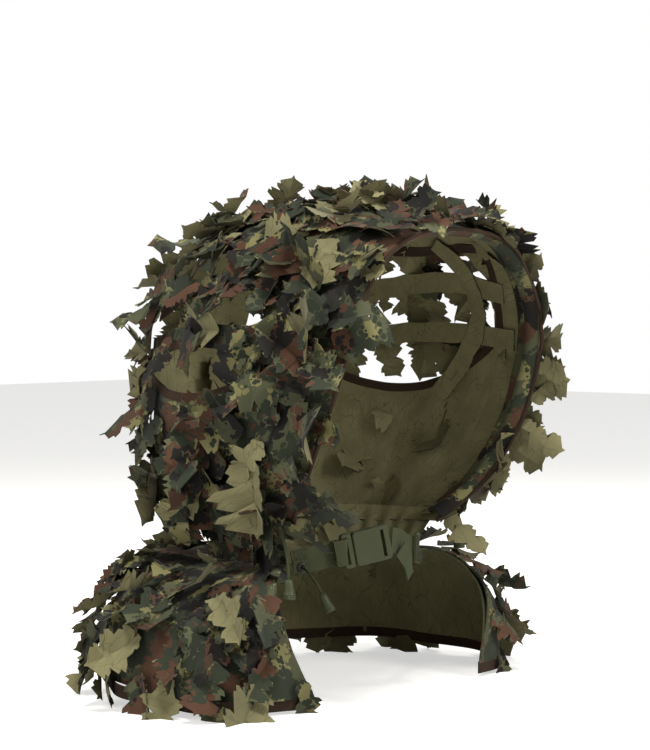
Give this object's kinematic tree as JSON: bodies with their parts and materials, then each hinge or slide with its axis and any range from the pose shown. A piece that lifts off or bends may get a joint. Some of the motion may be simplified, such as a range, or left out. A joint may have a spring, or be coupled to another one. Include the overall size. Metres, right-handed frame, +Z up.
{
  "type": "ghillie hood",
  "caption": "Leaf-covered camouflage hood with open net side windows, joined to a short open-front shoulder cape with a buckled throat strap and drawcords.",
  "frame": {"origin": "centre of the wearer's neck, at the top of the collar seam where the hood is hinged to the cape", "axes": "+Z up along the neck, the wearer faces -Y, +X is the wearer's left"},
  "size_m": [0.5246, 0.3621, 0.4929],
  "materials": {
    "camo_cloth": "woven cotton printed in a spotted leaf camouflage, khaki on the back",
    "camo_leaves": "cut leaves of the same cloth, khaki on the back",
    "binding_tape": "dark brown bias tape",
    "olive_webbing": "olive woven webbing",
    "olive_plastic": "moulded olive acetal",
    "cord": "braided olive cord",
    "eyelet_metal": "blackened brass"
  },
  "bodies": {
    "cape": {"back_yoke": "camo_cloth", "buckle_socket": "olive_plastic", "collar_band": "camo_cloth", "cord_tab_left": "olive_webbing", "cord_tab_right": "olive_webbing", "front_panel_left": "camo_cloth", "front_panel_right": "camo_cloth", "front_webbing_left": "olive_webbing", "front_webbing_right": "olive_webbing", "hem_tape": "binding_tape", "leaves_back": "camo_leaves", "leaves_shoulder_left": "camo_leaves", "leaves_shoulder_right": "camo_leaves", "shoulder_panel_left": "camo_cloth", "shoulder_panel_right": "camo_cloth", "strap_tail": "olive_webbing", "tab_eyelet_left": "eyelet_metal", "tab_eyelet_right": "eyelet_metal", "tab_right_pull_bell": "olive_plastic", "tab_right_pull_cord": "cord", "throat_strap_left": "olive_webbing", "throat_strap_right": "olive_webbing", "tri_glide": "olive_plastic"},
    "hood": {"brim_band": "camo_cloth", "brim_facing": "camo_cloth", "cheek_panel_left": "camo_cloth", "cheek_panel_right": "camo_cloth", "crown_panel": "camo_cloth", "hood_drawcord": "cord", "hood_eyelet_left": "eyelet_metal", "hood_eyelet_right": "eyelet_metal", "hood_left_pull_bell": "olive_plastic", "hood_left_pull_cord": "cord", "hood_right_pull_bell": "olive_plastic", "hood_right_pull_cord": "cord", "leaves_brim_left": "camo_leaves", "leaves_brim_right": "camo_leaves", "leaves_cheek_left": "camo_leaves", "leaves_cheek_right": "camo_leaves", "leaves_crown": "camo_leaves", "leaves_rear": "camo_leaves", "rear_panel": "camo_cloth", "window_binding_left": "binding_tape", "window_binding_right": "binding_tape", "window_strap_lower_left": "camo_cloth", "window_strap_lower_right": "camo_cloth", "window_strap_slanted_left": "camo_cloth", "window_strap_slanted_right": "camo_cloth", "window_strap_upper_left": "camo_cloth", "window_strap_upper_right": "camo_cloth"},
    "plug": {"buckle_plug": "olive_plastic", "plug_webbing": "olive_webbing"},
    "latch_upper": {"latch_arm_upper": "olive_plastic"},
    "latch_lower": {"latch_arm_lower": "olive_plastic"}
  },
  "joints": [
    {"name": "hood_tilt", "type": "hinge", "parent": "cape", "child": "hood", "pos_m": [0, 0.092, 0.017], "axis": [-1, 0, 0], "range_deg": [0, 25]},
    {"name": "plug_slide", "type": "slide", "parent": "cape", "child": "plug", "axis": [-0.8501, 0.4908, -0.1908], "range_m": [0, 0.026]},
    {"name": "latch_upper_squeeze", "type": "hinge", "parent": "plug", "child": "latch_upper", "pos_m": [-0.04666, -0.07604, 0.01646], "axis": [0.5, 0.866, 0], "range_deg": [0, 10]},
    {"name": "latch_lower_squeeze", "type": "hinge", "parent": "plug", "child": "latch_lower", "pos_m": [-0.04249, -0.07845, -0.00827], "axis": [-0.5, -0.866, 0], "range_deg": [0, 10]}
  ],
  "couplings": [
    {"joint": "latch_upper_squeeze", "follows": "plug_slide", "rad_per_m": 5.8},
    {"joint": "latch_lower_squeeze", "follows": "plug_slide", "rad_per_m": 5.8}
  ]
}
